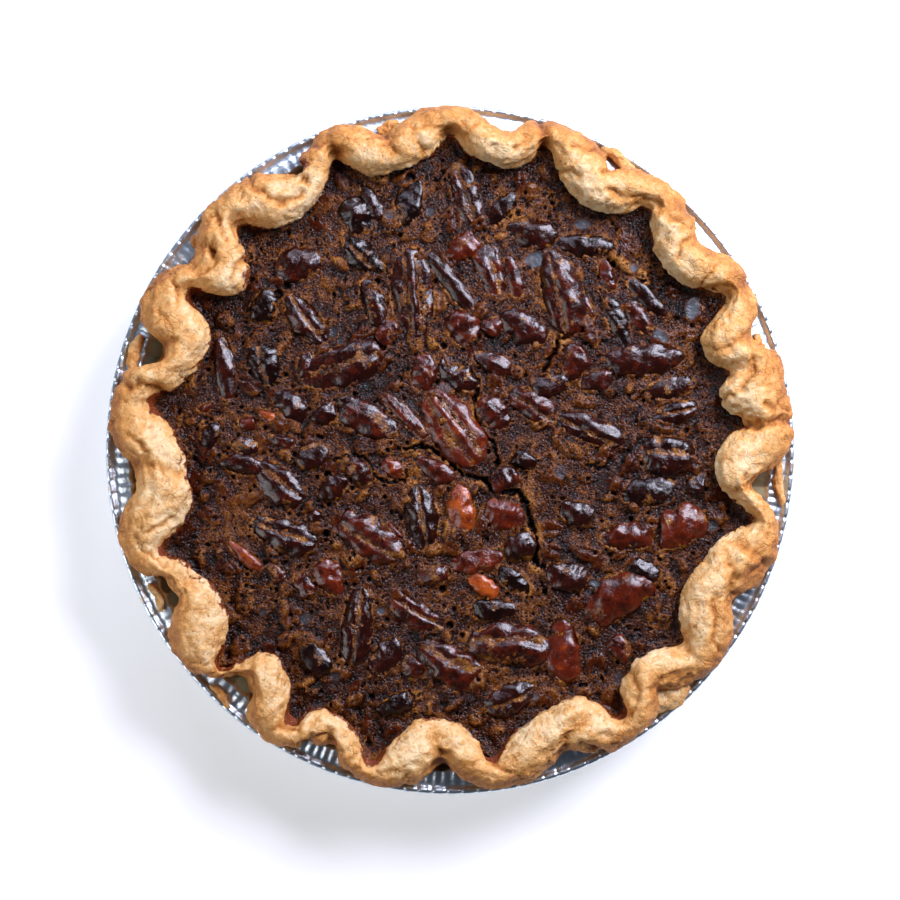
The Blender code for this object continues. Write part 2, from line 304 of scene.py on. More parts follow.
def makeCrustMaterial():
    material, tree, shader = newMaterial("bakedShortcrust")
    where = addNode(tree, "TexCoord", out="Object")
    browningAndShade, creviceShade, syrup = [
        addNode(tree, "Attribute", out="Fac", attribute_name=name)
        for name in ("browningAndShade", "creviceShade", "stain")
    ]
    patches, flakes, grain = [
        addNode(tree, "TexNoise", {
            "Vector": where, "Scale": 1 / size, "Detail": detail, "Roughness": uneven,
            "Distortion": twist})
        for size, detail, uneven, twist in (
            (9 * mm, 3.0, 0.6, 0.0), (3 * mm, 6.0, 0.65, 1.4), (0.9 * mm, 3.0, 0.65, 0.0))
    ]
    # thin cracks in patches of the surface
    wobble = addNode(tree, "TexNoise", {
        "Vector": where, "Scale": 1 / (4 * mm), "Detail": 2.0}, out="Color")
    warped = addNode(tree, "VectorMath", {0: wobble, 1: (3 * mm,) * 3, 2: where},
                     operation="MULTIPLY_ADD")
    cracks = addNode(tree, "TexVoronoi", {"Vector": warped, "Scale": 1 / (5 * mm)},
                     feature="DISTANCE_TO_EDGE")
    cracks = setRamp(addNode(tree, "ValToRGB", {"Fac": cracks}), (0.01, 1.0), (0.045, 0.0))
    cracked = setRamp(addNode(tree, "ValToRGB", {"Fac": patches}), (0.52, 0.0), (0.64, 0.8))
    cracks = addNode(tree, "Math", {0: cracks, 1: cracked}, operation="MULTIPLY")
    # baked colour, starting from the browning and painted shade attribute: pale and brown patches,
    # then flakes, then grain
    bake = browningAndShade
    for layer, weight in ((patches, 0.75), (flakes, 0.75), (grain, 0.35)):
        bake = addNode(tree, "Math", {0: layer, 1: weight, 2: bake}, operation="MULTIPLY_ADD")
    bake = addNode(tree, "Math", {0: bake, 1: 0.925}, operation="SUBTRACT")
    colour = setRamp(
        addNode(tree, "ValToRGB", {"Fac": bake}),
        (0.02, crustLook["cream"]), (0.22, crustLook["straw"]), (0.46, crustLook["gold"]),
        (0.76, crustLook["brown"]), (1.0, crustLook["dark"]),
    )
    specks = addNode(tree, "TexVoronoi", {"Vector": where, "Scale": 1 / (2.8 * mm)})
    specks = setRamp(addNode(tree, "ValToRGB", {"Fac": specks}), (0.05, 0.8), (0.15, 0.0))
    # creaseShade: painted shade darkening the cracks, hollows and fold creases
    creaseShade = addNode(tree, "Math", {0: cracks, 1: 0.4, 2: creviceShade}, operation="MULTIPLY_ADD",
                     use_clamp=True)
    stain = addNode(tree, "Math", {0: syrup, 1: grain}, operation="MULTIPLY")
    stain = setRamp(addNode(tree, "ValToRGB", {"Fac": stain}), (0.16, 0.0), (0.40, 1.0))
    for amount, shade in ((specks, "brown"), (creaseShade, "creaseShade"), (stain, "caramel")):
        colour = addNode(tree, "MixRGB", {
            "Fac": amount, "Color1": colour, "Color2": linear(crustLook[shade])})
    roughness = addNode(tree, "MapRange", {"Value": stain, "To Min": 0.6, "To Max": 0.22})
    # fine crumbly grain over flaky wrinkles
    height = grain
    for layer, weight in ((flakes, 2.0), (cracks, -0.7)):
        height = addNode(tree, "Math", {0: layer, 1: weight, 2: height}, operation="MULTIPLY_ADD")
    bump = addNode(tree, "Bump", {"Height": height, "Strength": 0.9, "Distance": 0.5 * mm})
    setShader(
        tree, shader, Base_Color=colour, Roughness=roughness, Normal=bump, IOR=1.45,
        Subsurface_Weight=0.22, Subsurface_Scale=2.6 * mm, Subsurface_Radius=(1.0, 0.5, 0.22),
    )
    return material


crust = {
    "cutHeight": 25.0 * mm,  # detail is only made above this; the tin and filling hide the rest
    "voxel": 0.7 * mm,
    "smoothing": 9,
    "plump": 0.55 * mm,  # puts back what the smoothing took
    "lumpSize": 7.0 * mm,
    "lumpHeight": 0.75 * mm,
    "blisterSize": 3.6 * mm,
    "blisterHeight": 0.48 * mm,
    "crumbSize": 1.6 * mm,
    "crumbHeight": 0.22 * mm,
    "fissureDepth": 0.6 * mm,
    "outermost": 113.9 * mm,
    "flangeFrom": 106.4 * mm,  # outside this it lies on the tin's flange, at this height
    "flangeHeight": 28.1 * mm,
    # pinched folds and cracks: width and depth in mm, then a run of points in mm
    "folds": (
        (2.4, 1.3, (55, 84), (63, 82), (70, 81.5), (80, 78)),
        (2.2, 1.2, (83, 52), (92, 54), (99, 54.5)),
        (1.2, 1.2, (69, 80), (73, 76), (79, 73.5)),
        (0.7, 0.9, (79, 70), (75, 67), (75, 63)),
        (0.8, 0.9, (87, 60.5), (84, 57), (83, 54.5)),
        (0.7, 0.7, (52, 85.5), (54, 84.5), (56, 82.5)),
        (1.3, 1.3, (100, 30), (99, 25), (96, 21), (90, 17)),
        (1.4, 1.6, (91, 10), (97, 8.5), (104, 8.3), (108, 9.8), (113, 9)),
        (0.9, 1.0, (103, 15), (106, 13), (108, 16), (110, 13)),
        (1.8, 1.2, (96, 37), (92, 33.5), (87, 33)),
        (1.8, 1.3, (94, -31), (100, -32.5), (103, -37), (99, -41), (95, -43)),
        (1.6, 1.2, (91, -34), (92.5, -40), (92.5, -47)),
        (1.0, 0.9, (86, -49), (88, -55), (86, -60), (88, -66)),
        (4.0, 2.2, (68, -78), (70, -75), (78, -74)),
        (1.8, 1.4, (60, -86), (62, -80), (60, -74)),
        (1.1, 1.6, (43, -96), (47, -97), (51, -99.5)),
        (2.4, 1.6, (37.5, -98), (39, -93), (44, -89)),
        (3.0, 2.2, (-2.5, -106), (-3, -100), (-4.5, -94)),
        (1.2, 1.0, (12, -97), (14, -102), (18, -105)),
        (1.8, 2.2, (-38, -110), (-38.5, -102), (-39.5, -93)),
        (1.4, 1.6, (-48, -97), (-45, -94.5), (-40, -93)),
        (1.2, 1.0, (-56, -91), (-51, -91.5), (-50, -93)),
        (3.2, 2.0, (-66, -80), (-66.5, -73), (-74, -73)),
        (1.2, 1.2, (-74, -69), (-76, -73), (-82, -75)),
        (2.6, 1.5, (-99, -44), (-92, -42), (-86, -42)),
        (0.8, 0.9, (-98.5, -27), (-95, -25), (-91, -22.5)),
        (0.7, 0.7, (-101, -33), (-97, -36), (-94, -39)),
        (2.8, 1.5, (-104, -4), (-96, -5), (-90, -8), (-86, -9)),
        (0.9, 0.9, (-106, 5), (-102, 2.5), (-99, -1)),
        (1.6, 1.5, (-106, 21), (-100, 21.5), (-95, 20)),
        (3.0, 1.8, (-101, 31), (-96, 35), (-91, 36)),
        (0.9, 1.0, (-96, 46), (-93, 43), (-91, 40)),
        (0.8, 0.9, (-91, 55), (-89, 51), (-90, 47)),
        (2.4, 1.6, (-79, 67), (-76, 62), (-83, 58)),
        (0.9, 1.0, (-77, 77), (-75, 72), (-73, 69)),
        (1.3, 1.5, (-72, 56), (-70, 61), (-66, 64)),
        (1.1, 1.3, (-66, 91), (-65, 87), (-60, 83), (-55, 81), (-49, 84)),
        (2.0, 1.4, (-36, 98), (-41, 101), (-48, 100)),
        (1.8, 1.4, (-22, 106), (-20.5, 101), (-18, 97)),
        (1.0, 1.1, (-12.5, 106), (-11, 101), (-9, 99)),
        (2.6, 1.2, (-8, 107), (-2, 105), (4, 104)),
        (0.8, 0.9, (4, 107), (6, 105.5), (9, 107)),
        (1.5, 1.4, (29, 108), (31, 104), (31, 97)),
        (0.9, 0.9, (24, 104), (26, 102), (21, 99)),
        (0.8, 0.8, (36, 92), (40, 91.5), (43, 90)),
        (1.0, 1.2, (50, 91), (53, 93), (60, 93.5)),
        (1.0, 1.0, (40, 100), (45, 98), (49, 99)),
    ),
    # small pits pressed or torn in the dough: x, y, width in mm, depth
    "pits": (
        (54, 95.5, 5.5, 4.5), (-50, 93.5, 4.5, 4.0), (-47.5, 88.5, 3.0, 2.0),
        (-96, -44.5, 4.0, 3.0), (-98, 32, 5.0, 3.5), (-78, 65, 4.0, 2.5),
    ),
    # bays to the filling and notches to the tin, between the folds: degrees, radius in mm
    "bays": (
        (5.4, 95.4), (15.5, 94.4), (29, 103), (50.5, 102.3), (71.9, 103), (90, 102),
        (111.8, 102.3), (133.4, 100.5), (149, 99.5), (171, 98.2), (199.5, 98.7), (223, 102.6),
        (239.6, 102.6), (255.6, 104.8), (278, 101), (302.8, 103.5), (320, 99), (347, 101.6),
    ),
    "notches": (
        (-6, 99), (20, 105), (39.5, 106.5), (80.5, 105.9), (101.5, 105.6), (120, 104.4),
        (143.3, 104.7), (161.5, 101), (185.2, 99.4), (207, 98.5), (228.6, 100), (246.5, 103.5),
        (269, 103), (291.5, 103.7), (332.2, 104.7),
    ),
    "opening": 2.1 * mm,  # how far the walls of bays and notches are drawn back
    "openingWidth": 5.0,  # in mm
    "openingLength": 7,
    "stains": (  # x, y, reach in mm where syrup stained the pastry
        (-49, 94, 4.0), (-47, 103, 2.2), (-66, 58, 3.5), (-36, 91, 3.0),
    ),
}


def closeCut(piece, height, keepUpper):
    editAll(piece)
    bpy.ops.mesh.bisect(
        plane_co=(0, 0, height), plane_no=(0, 0, 1),
        clear_inner=keepUpper, clear_outer=not keepUpper,
    )
    bpy.ops.mesh.select_all(action="DESELECT")
    bpy.ops.mesh.select_non_manifold()
    bpy.ops.mesh.bridge_edge_loops()
    bpy.ops.mesh.select_all(action="SELECT")
    bpy.ops.mesh.normals_make_consistent(inside=False)
    leaveEdit()


def makeCrust():
    rim = copyOfNode("pastry_crust", "crustRim")
    lining = copyOfNode("pastry_crust", "crustLining")
    closeCut(rim, crust["cutHeight"], True)
    closeCut(lining, crust["cutHeight"] + 0.3 * mm, False)
    applyModifier(rim, "remesh", "REMESH", mode="VOXEL", voxel_size=crust["voxel"])
    applyModifier(rim, "soften", "SMOOTH", factor=0.5, iterations=crust["smoothing"])

    points, normals = readPoints(rim), readNormals(rim)
    above = smoothStep(points[:, 2], 26.5 * mm, 30 * mm)
    lumps = roughNoise(points, crust["lumpSize"], 2, 3)
    blisters = 0.6 - 2 * np.abs(noiseAt(points, crust["blisterSize"], 5))
    crumbs = noiseAt(points, crust["crumbSize"], 6) + noiseAt(points, 0.6 * crust["crumbSize"], 8)
    # short wandering fissures, in patches
    torn = noiseAt(points, 3.4 * mm, 21) + 0.35 * noiseAt(points, 1.4 * mm, 22)
    patch = smoothStep(noiseAt(points, 6 * mm, 9), 0.1, 0.35)
    fissures = (1 - smoothStep(np.abs(torn), 0.01, 0.09)) * patch
    lift = crust["plump"] + lumps * crust["lumpHeight"] + blisters * crust["blisterHeight"]
    lift += crumbs * crust["crumbHeight"] - fissures * crust["fissureDepth"]
    jagX = points[:, 0] / mm + 1.2 * noiseAt(points, 3 * mm, 23)
    jagY = points[:, 1] / mm + 1.2 * noiseAt(points, 3 * mm, 24)
    pinched, creased = np.zeros(len(points)), np.zeros(len(points))
    for width, depth, *run in crust["folds"]:
        away = distanceToRun(jagX, jagY, run) / width
        valley = np.exp(-away * away)
        line = np.exp(-np.abs(away) * 3.2) * min(1, 1.2 / width)
        lift -= depth * mm * (0.75 * valley + 0.45 * line)
        lift += 0.25 * depth * mm * np.exp(-((away - 2.2) ** 2))
        pinched = np.maximum(pinched, valley * min(1, depth))
        creased = np.maximum(creased, line)
    for x, y, width, depth in crust["pits"]:
        away = np.hypot(jagX - x, jagY - y) / (width / 2)
        pit = 1 - smoothStep(away, 0.5, 1.2)
        lift -= depth * mm * pit
        pinched = np.maximum(pinched, pit)
    sideways = np.sqrt(np.clip(1 - normals[:, 2] ** 2, 0, 1))
    boiledOver = np.zeros(len(points))
    for inward, rows in ((True, crust["bays"]), (False, crust["notches"])):
        for degrees, radius in rows:
            turn = math.radians(degrees)
            step = -crust["openingLength"] if inward else crust["openingLength"]
            run = [((radius + along) * math.cos(turn), (radius + along) * math.sin(turn))
                   for along in (0, step)]
            away = distanceToRun(jagX, jagY, run) / crust["openingWidth"]
            near = np.exp(-away * away)
            lift -= crust["opening"] * near * sideways
            if inward and 140 < degrees < 310:
                boiledOver = np.maximum(boiledOver, near)
    lift *= above
    points = points + normals * lift[:, None]
    reach = np.hypot(points[:, 0], points[:, 1])
    over = np.maximum(reach - crust["outermost"], 0)
    points[:, :2] -= points[:, :2] / reach[:, None] * over[:, None]
    points[:, 2] = np.minimum(points[:, 2], cadHigh.z - 0.02 * mm)
    floorHeight = np.where(reach > crust["flangeFrom"], crust["flangeHeight"], 0)
    points[:, 2] = np.maximum(points[:, 2], floorHeight)
    writePoints(rim, points)

    # hollows: how far a point lies under a well smoothed copy of the surface; the colour darkened
    # there, in fissures and along fold creases is painted shade
    normals = readNormals(rim)
    hollow, broadHollow = [
        np.einsum("ij,ij->i", smooth - points, normals) for smooth in smoothedPoints(rim, 24, 120)
    ]
    creviceShade = 0.5 * smoothStep(hollow, 0.16 * mm, 0.6 * mm)
    creviceShade = np.maximum(creviceShade, 0.5 * fissures * above)
    creviceShade = np.maximum(creviceShade, 0.34 * creased * above)
    writeAttribute(rim, "creviceShade", creviceShade)

    # browner outside and down in the folds, pale along the tops; the darkening in the broad hollows
    # and pinched folds is partly painted shade, the rest real browning
    reach = np.hypot(points[:, 0], points[:, 1])
    outward = (normals[:, 0] * points[:, 0] + normals[:, 1] * points[:, 1]) / reach
    browningAndShade = 0.30 + 0.20 * outward + 0.16 * smoothStep(reach, 101 * mm, 113 * mm)
    browningAndShade += 0.22 * smoothStep(broadHollow, -0.3 * mm, 1.6 * mm) + 0.20 * pinched
    browningAndShade -= 0.14 * smoothStep(normals[:, 2], 0.5, 1.0)
    browningAndShade += 0.14 * noiseAt(points, 26 * mm, 31)
    writeAttribute(rim, "browningAndShade", browningAndShade)

    # syrup along the inner edge, low down, and in the spots where it boiled over
    streaky = noiseAt(points, 2.5 * mm, 32)
    ragged = 2.4 * streaky + 1.4 * noiseAt(points, 1.1 * mm, 33)
    boiled = 0.5 - 0.5 * np.cos(np.arctan2(points[:, 1], points[:, 0]) - math.radians(20))
    stain = smoothStep(-outward - 0.85 * normals[:, 2] + 0.28 * ragged, 0.3, 0.6) * boiled
    stain *= 1 - smoothStep(points[:, 2], 34 * mm, 37.5 * mm)
    low = 1 - smoothStep(points[:, 2] + ragged * mm, 31.0 * mm, 32.6 * mm)
    stain = np.maximum(stain, low * smoothStep(-outward, -0.2, 0.3))
    climbed = boiledOver + 0.35 * streaky + 0.25 * noiseAt(points, 1.1 * mm, 34)
    climbed -= smoothStep(points[:, 2], 32 * mm, 37 * mm) + smoothStep(outward, 0.0, 0.5)
    stain = np.maximum(stain, smoothStep(climbed, 0.35, 0.6))
    for x, y, size in crust["stains"]:
        away = np.hypot(points[:, 0] - x * mm, points[:, 1] - y * mm) / (size * mm)
        stain = np.maximum(stain, 1 - smoothStep(away + 0.4 * streaky, 0.3, 1.0))
    writeAttribute(rim, "stain", stain)

    piece = joinPieces([rim, lining], "pastryEdge")
    finishPiece(piece, pastryMaterial, ["pastry_crust"])
    print("crust made:", len(piece.data.polygons), "faces")


pastryMaterial = makeCrustMaterial()
makeCrust()


# thumbnail scraps and strips of dough that baked on the tin's flange between the folds:
# x, y, height of the middle, length, width, thickness in mm, heading, browning
scraps = (
    (-20.5, 107, 28.9, 8, 4.5, 2.6, 15, 0.5), (-104.5, 31.5, 29, 14, 4, 3, 73, 0.4),
    (-76, -81.5, 28.8, 10, 3, 2.4, -50, 0.4), (103.5, -3, 29.2, 6, 4, 2.6, 60, 0.45),
    (-83.5, 69, 28.7, 6, 4, 2.4, -45, 0.6), (-91, 59, 28.6, 5, 3, 2.2, 60, 0.7),
    (102.5, 35.5, 28.8, 6, 3.4, 2.4, -65, 0.5), (109.6, -11, 28.9, 15, 3.2, 2.8, 88, 0.35),
    (-97, -49, 29.4, 11, 3, 2.6, -65, 0.3), (55.8, 96.4, 29.6, 14, 4, 3.6, -30, 0.4),
    (71, -80.2, 30.2, 19, 12, 5.6, 41.5, 0.3),
)


def makeScraps():
    made = []
    for number, (x, y, height, length, width, thick, heading, browningAndShade) in enumerate(scraps):
        bpy.ops.mesh.primitive_uv_sphere_add(segments=36, ring_count=24, radius=0.5)
        piece = nameActive(f"scrap{number}")
        ball = readPoints(piece)
        flat = ball * np.array([length, width, thick]) * mm
        flat[:, 1] += 0.05 * length * mm * np.sin(5 * ball[:, 0] + number)
        lumps = 0.9 * noiseAt(flat + number, 2.4 * mm, 95) + 0.4 * noiseAt(flat, 1.1 * mm, 96)
        flat += 2 * ball * (lumps * mm)[:, None]
        turn = math.radians(heading)
        points = np.stack([
            x * mm + flat[:, 0] * math.cos(turn) - flat[:, 1] * math.sin(turn),
            y * mm + flat[:, 0] * math.sin(turn) + flat[:, 1] * math.cos(turn),
            np.maximum(height * mm + flat[:, 2], 27.7 * mm),  # above the flange's underside
        ], axis=1)
        writePoints(piece, points)
        writeAttribute(piece, "browningAndShade", np.full(len(ball), browningAndShade) - 0.2 * ball[:, 2])
        made.append(piece)
    piece = joinPieces(made, "doughScraps")
    finishPiece(piece, pastryMaterial)
    print("scraps made:", len(piece.data.polygons), "faces")


makeScraps()


filling = {
    "cells": 308,
    "edgeHeight": 28.4 * mm,
    "dome": 2.0 * mm,
    "overlap": 3.4 * mm,  # how far it runs into the pastry, out of sight
    "lumps": 330,  # nuts and bubbles just under the skin
    # open holes: x, y, width in mm
    "holes": (
        (-54, 54.5, 2.5), (-57, 51.5, 3.2), (-13, 90.5, 3.4), (-2.5, 92, 1.8), (-24, 56, 2),
        (22.5, 78.5, 1.8), (34, 82, 1.8), (11, 70, 1.5), (54, 61.5, 2.2), (75.5, 43.5, 1.6),
        (55.5, 32, 1.6), (-22, 34, 2), (-2, 34.5, 2.2), (9, 23, 2), (-4.5, 22.5, 1.8),
        (-26, 13.5, 2.5), (-21, 10, 2), (-40.5, -8, 2.5), (-44, -9, 1.6), (-41, -27.5, 2.5),
        (-26, -9.5, 1.8), (0, -58, 2.5), (-2.5, -46, 2.5), (4, -61.5, 1.8), (-26, -82, 2.2),
        (53, -41, 1.8), (60, -23, 2), (59.5, -12.5, 1.6), (-27, -97.5, 2.2), (78.5, 6.5, 1.8),
    ),
    # bubbles under a thin clear skin: x, y, length, width in mm, heading, strength of the pale
    # painted reflection on the skin
    "windows": (
        (28, 63, 7, 5, 10, 0.9), (80.5, 47, 8, 4.5, 80, 1.0), (61, 60.5, 3.5, 3, 0, 0.9),
        (69, 38.5, 3, 3, 0, 0.9), (71, 37, 3, 2.4, 0, 0.7), (44, 75, 5, 3, 0, 0.8),
        (-6.5, 79, 3, 3, 0, 0.5), (14.5, 78, 4, 2, 80, 0.6), (-39, 39, 3.5, 3.5, 0, 0.35),
        (-20, 78, 4, 3.5, 0, 0.4), (-13, 14, 6, 4, 90, 0.2), (-2, 20, 5, 4, 0, 0.35),
        (87, -25, 4, 4, 0, 0.3), (48, -44, 4, 2, 160, 1.0), (-62, -54, 3, 3, 0, 0.3),
        (-48, -56, 4, 3.5, 0, 0.35), (-38, -75, 3.5, 3.5, 0, 0.3), (-23, -53.5, 3, 2.5, 0, 0.7),
        (28, -82, 3, 2, 0, 0.9), (56, -76, 5, 3.5, 90, 0.3), (37, -7, 5, 4, 90, 0.25),
        (-36, 36, 2.5, 2.5, 0, 0.3), (-28, 21.5, 3.5, 3, 0, 0.2),
    ),
    # cracks: width in mm, then a run of points in mm
    "cracks": (
        (0.9, (9, 20), (8, 14), (9, 9), (11, 5), (14, 3), (15, -1), (16, -4), (13, -8),
         (12, -10)),
        (1.3, (12, -10), (14, -13), (19, -14), (23, -14), (25, -17), (26, -22), (28, -28),
         (28.5, -33), (28, -37), (31, -39)),
        (0.5, (30, -43), (32, -48)),
        (0.9, (12, -10), (8, -9), (4, -8), (2, -6), (-1, -3), (-4, -1), (-7, 1.5), (-15, 0.5)),
        (0.9, (44, 40), (36, 36.5), (35, 33), (33, 30), (31, 26)),
        (0.6, (-38, -3), (-34, -2), (-29, -2), (-26, -5), (-25, -9), (-20, -11), (-15, -10),
         (-14, -7)),
        (0.5, (60, 16), (66, 20), (75, 24)),
        (0.4, (45, -5), (54, -7)),
    ),
    "crackDepth": 2.4 * mm,
    "bubbles": 1300,  # small open ones
    "creep": 1.8 * mm,  # how far it climbs up the pastry, over this width
    "creepWidth": 3.4 * mm,
    "highest": 37 * mm,
    "waist": (16 * mm, 93 * mm),  # height and greatest radius, within the pastry lining
    "foot": (5.6 * mm, 84 * mm),
}

# x, y, heading, length, width in mm, tint
nutBits = (
    (-25.5, 82, -60, 12, 5, 0.2), (4, 68, 60, 11, 8.5, 0.6), (14, 29, -20, 13, 6, 0.4),
    (-41, 12, 30, 10, 6.5, 0.3), (-34, 14, -35, 10, 6, 0.3), (25, -3.5, -10, 9, 6, 0.2),
    (18, -10, 40, 10, 7.5, 0.4), (-19, -6.5, -45, 8, 5, 0.7), (-30, -7, -60, 10, 7, 0.4),
    (-5, -6.5, -33, 14, 6, 0.5), (24, -32, 20, 12, 8.5, 0.3), (41, 29, 70, 12, 9, 0.4),
    (49, 23.5, 20, 12, 6.5, 0.4), (42, -21, -20, 12, 7.5, 0.3), (-5, -41, 10, 11, 5.5, 0.5),
    (11, -45, -35, 11, 5.5, 0.95), (14, -53, 3, 15, 6, 0.15), (-12, -72, -60, 9, 6, 0.4),
    (-18, -84, 20, 14, 6, 0.1), (-44, -70, -50, 14, 8, 0.15), (-48, -45, -65, 11, 5.5, 0.5),
    (-69, -5, -12, 14, 6, 0.35), (-68, 1.5, -15, 9, 5, 0.35), (-45.5, -2, 20, 11, 7.5, 0.3),
    (57, -66, -50, 10, 7, 0.5), (-57.5, -40.5, -45, 8, 4, 0.5), (-68, -35, -40, 14, 3.6, 0.8),
    (-56, 3.5, -15, 9, 4, 0.4), (-60, 11, -35, 7, 3, 0.95), (-67, 9, 0, 6, 4, 0.5),
    (-81, 14, 20, 5, 2.4, 0.6), (46, 47, -75, 8, 3, 0.5), (-18, -27, -45, 7, 2.4, 0.6),
    (52, -87, 20, 4, 3, 0.95), (-45, -22, 0, 5, 4, 0.4), (-39, -12, 30, 10, 7, 0.3),
    (13.5, 41, 60, 8, 6, 0.5), (-62, 47, 80, 12, 8, 0.1), (-79, 5, 60, 10, 5, 0.15),
    (52, 58, -80, 10, 5, 0.5), (33, 22, 15, 12, 7, 0.3), (64, -40, -30, 12, 7, 0.15),
    (81, -12, 60, 10, 6, 0.2), (-21, 39, 50, 9, 6, 0.5), (-48, 28, 70, 9, 5, 0.4),
)


def placeOf(middle, along, length, width, low, high):
    if along[0] < 0:
        along = -along
    return {
        "middle": middle, "along": along, "across": np.array([-along[1], along[0]]),
        "length": length, "width": width, "low": low, "high": high,
    }


def halfPlaces():
    places = {}
    for name, node in sorted(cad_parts.items()):
        if name.startswith("pecan_half"):
            points = readPoints(node)
            low, high = points.min(axis=0), points.max(axis=0)
            flat = points[:, :2] - (low[:2] + high[:2]) / 2
            _, axes = np.linalg.eigh(np.cov(flat.T))
            places[name] = placeOf(
                (low + high) / 2, axes[:, 1], np.ptp(flat @ axes[:, 1]),
                np.ptp(flat @ axes[:, 0]), low[2], high[2],
            )
    return places


def bitPlaces():
    places = []
    for x, y, heading, length, width, _ in nutBits:
        dome = filling["dome"] * (1 - (math.hypot(x, y) / 100) ** 2)
        surface = filling["edgeHeight"] + dome
        turn = math.radians(heading)
        places.append(placeOf(
            np.array([x * mm, y * mm, surface]), np.array([math.cos(turn), math.sin(turn)]),
            length * mm, width * mm, surface - 1.0 * mm, surface + (0.9 + 0.26 * width) * mm,
        ))
    return places


# where the nuts lie: the halves read from their solids, the broken bits listed
pecans = halfPlaces()
bits = bitPlaces()
nuts = [*pecans.values(), *bits]


def squareToDisc(x, y):
    # spreads a square's points evenly over a disc
    larger, smaller = np.where(np.abs(x) > np.abs(y), x, y), np.where(np.abs(x) > np.abs(y), y, x)
    ratio = np.divide(smaller, larger, out=np.zeros_like(larger), where=larger != 0)
    turn = np.where(
        np.abs(x) > np.abs(y), math.pi / 4 * ratio, math.pi / 2 - math.pi / 4 * ratio
    )
    return larger * np.cos(turn), larger * np.sin(turn)


def fillingReach():
    # the solid's outline at its brim, as a radius for every angle
    points = readPoints(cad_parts["custard_filling"])
    radius = np.hypot(points[:, 0], points[:, 1])
    brim = (np.abs(points[:, 2] - filling["edgeHeight"]) < 0.02 * mm) & (radius > 84 * mm)
    turn = np.arctan2(points[brim, 1], points[brim, 0])
    order = np.argsort(turn)
    turn, radius = turn[order], radius[brim][order]
    turn = np.concatenate([turn - 2 * math.pi, turn, turn + 2 * math.pi])
    return turn, np.tile(radius, 3)


def ovalDistance(x, y, middle, along, length, width):
    # 1 on the oval's outline, 0 at its middle
    dx, dy = x - middle[0], y - middle[1]
    u = (dx * along[0] + dy * along[1]) / (length / 2)
    v = (-dx * along[1] + dy * along[0]) / (width / 2)
    return u, v, np.sqrt(u * u + v * v)


def lumpPlaces():
    # buried nuts: spread unevenly, kept off the nuts that show
    chooser = random.Random(41)
    places = []
    for _ in range(12000):
        if len(places) == filling["lumps"]:
            break
        turn = chooser.uniform(0, 2 * math.pi)
        radius = 99 * mm * math.sqrt(chooser.random())
        x, y = radius * math.cos(turn), radius * math.sin(turn)
        length = chooser.uniform(4, 12) * mm
        width = length * chooser.uniform(0.45, 0.8)
        clear = all(
            math.hypot(x - p["middle"][0], y - p["middle"][1])
            > 0.28 * (p["length"] + p["width"]) / 2 + 0.3 * length
            for p in nuts
        )
        clear = clear and all(
            math.hypot(x - other[0], y - other[1]) > 0.36 * (length + other[2]) / 2 + 0.6 * mm
            for other in places
        )
        if clear:
            heading = chooser.uniform(0, math.pi)
            rise = chooser.uniform(0.5, 2.0) * mm
            places.append((x, y, length, width, heading, rise, chooser.random()))
    return places


